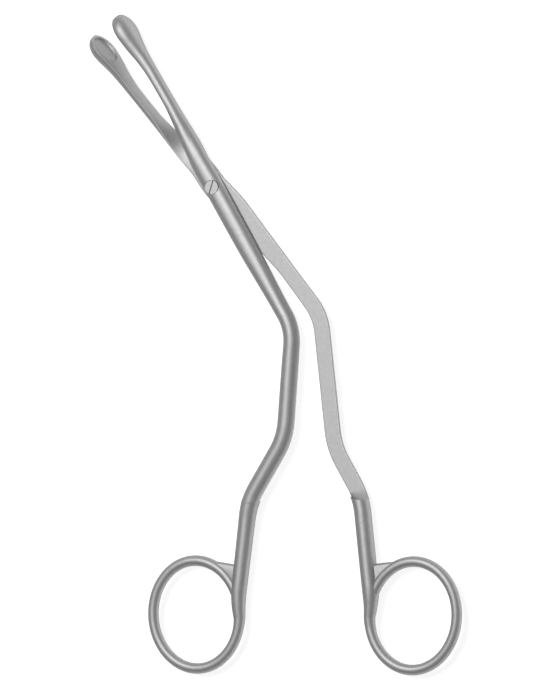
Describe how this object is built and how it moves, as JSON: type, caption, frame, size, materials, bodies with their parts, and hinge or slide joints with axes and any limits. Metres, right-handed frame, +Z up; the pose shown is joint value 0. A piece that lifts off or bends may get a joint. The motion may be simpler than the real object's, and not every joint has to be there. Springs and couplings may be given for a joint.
{
  "type": "septum compression forceps",
  "caption": "Ring-handled surgical forceps with angled handles, a slotted screw joint and small oval hollowed jaws for pressing the nasal septum.",
  "frame": {"origin": "middle of the outline seen from above, at the level of the lowest point, with the forceps lying on its side", "axes": "+Y from the finger rings to the jaws, +Z up along the joint screw towards its slotted head, +X towards the rear lever's ring"},
  "size_m": [0.1222, 0.198, 0.0091],
  "materials": {
    "lever_steel": "satin",
    "screw_steel": "satin"
  },
  "bodies": {
    "rear": {"rear_lever": "lever_steel", "joint_screw": "screw_steel"},
    "front": {"front_lever": "lever_steel"}
  },
  "joints": [
    {"name": "jaw_pivot", "type": "hinge", "parent": "rear", "child": "front", "pos_m": [-0.02, 0.04718, 0.00453], "axis": [0, 0, -1], "range_deg": [-7.9, 25]}
  ]
}
